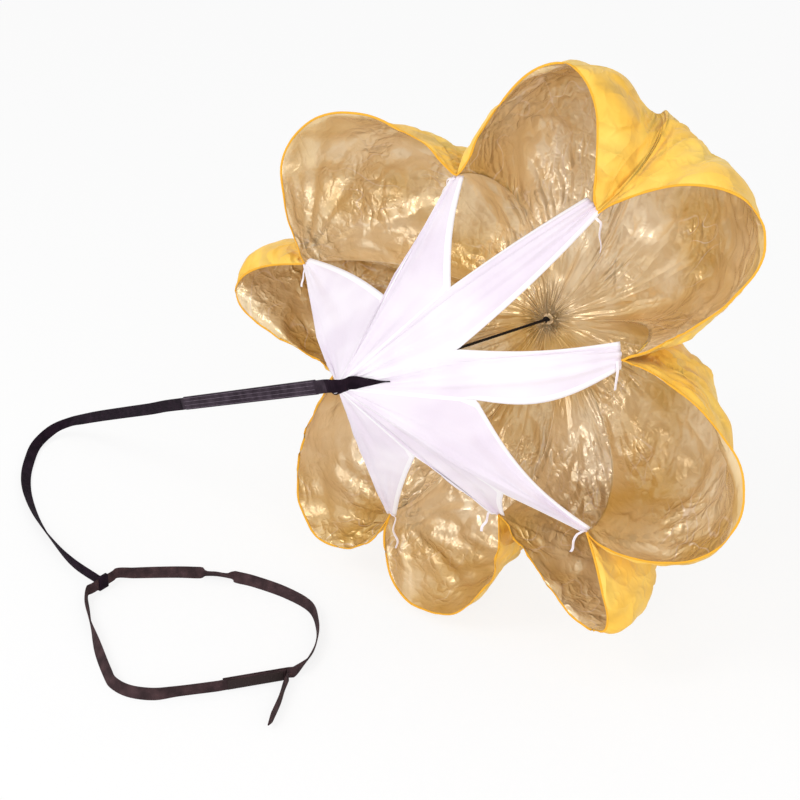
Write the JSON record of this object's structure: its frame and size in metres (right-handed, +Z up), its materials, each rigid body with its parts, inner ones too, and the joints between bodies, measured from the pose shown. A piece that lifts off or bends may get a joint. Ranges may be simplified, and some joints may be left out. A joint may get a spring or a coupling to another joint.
{
  "type": "speed parachute",
  "caption": "Sprint training parachute: scalloped yellow canopy with white side panels drawn to a gather, a webbing leash and a hook-and-loop waist belt.",
  "frame": {"origin": "middle of the canopy's mouth, on the hub line from the crown to the gather", "axes": "+Z up, the canopy opens towards -Y with its hub line tilted up by 10 degrees, +X to the right as seen from the front"},
  "size_m": [1.4655, 0.7867, 0.9314],
  "materials": {
    "coated_nylon_yellow": "thin coated nylon, bright yellow outside, gold and glossier inside",
    "white_polyester": "thin white woven polyester, slightly sheer",
    "black_webbing": "matt woven webbing, stitched",
    "belt_webbing": "matt woven webbing, dark grey-brown",
    "hook_and_loop": "ribbed hook-and-loop tape",
    "black_cord": "thin braided cord"
  },
  "bodies": {
    "canopy": {"canopy_gore_1": "coated_nylon_yellow", "canopy_gore_2": "coated_nylon_yellow", "canopy_gore_3": "coated_nylon_yellow", "canopy_gore_4": "coated_nylon_yellow", "canopy_gore_5": "coated_nylon_yellow", "canopy_gore_6": "coated_nylon_yellow", "canopy_gore_7": "coated_nylon_yellow", "canopy_gore_8": "coated_nylon_yellow", "corner_tape_1": "white_polyester", "corner_tape_2": "white_polyester", "corner_tape_3": "white_polyester", "corner_tape_4": "white_polyester", "corner_tape_5": "white_polyester", "corner_tape_6": "white_polyester", "corner_tape_7": "white_polyester", "corner_tape_8": "white_polyester", "crown_knot": "black_cord", "crown_line": "black_cord", "crown_patch": "coated_nylon_yellow", "gather_core": "white_polyester", "gather_tab": "black_webbing", "gather_wrap": "black_webbing", "hem_roll_1": "coated_nylon_yellow", "hem_roll_2": "coated_nylon_yellow", "hem_roll_3": "coated_nylon_yellow", "hem_roll_4": "coated_nylon_yellow", "hem_roll_5": "coated_nylon_yellow", "hem_roll_6": "coated_nylon_yellow", "hem_roll_7": "coated_nylon_yellow", "hem_roll_8": "coated_nylon_yellow", "side_panel_1": "white_polyester", "side_panel_2": "white_polyester", "side_panel_3": "white_polyester", "side_panel_4": "white_polyester", "side_panel_5": "white_polyester", "side_panel_6": "white_polyester", "side_panel_7": "white_polyester", "side_panel_8": "white_polyester"},
    "leash": {"leash_webbing_doubled": "black_webbing", "leash_stiffener_ply": "black_webbing", "leash_strap": "black_webbing"},
    "loop": {"leash_loop": "black_webbing", "leash_loop_fold": "black_webbing"},
    "belt": {"belt_webbing": "belt_webbing", "belt_loop_patch": "hook_and_loop", "belt_hook_patch": "hook_and_loop"},
    "tail": {"belt_tail": "belt_webbing"}
  },
  "joints": [
    {"name": "leash_swing", "type": "hinge", "parent": "canopy", "child": "leash", "pos_m": [-0.01421, -0.33976, 0.05991], "axis": [0, 0, 1], "range_deg": [-5, 60]},
    {"name": "loop_turn", "type": "hinge", "parent": "leash", "child": "loop", "pos_m": [-0.5174, -0.342, -0.4694], "axis": [0, 0, 1], "range_deg": [-40, 40]},
    {"name": "belt_slide", "type": "slide", "parent": "loop", "child": "belt", "axis": [0, 1, 0], "range_m": [-0.012, 0.012]},
    {"name": "tail_swing", "type": "hinge", "parent": "belt", "child": "tail", "pos_m": [-0.10039, -0.34525, -0.472], "axis": [0, 0, 1], "range_deg": [0, 70]}
  ]
}
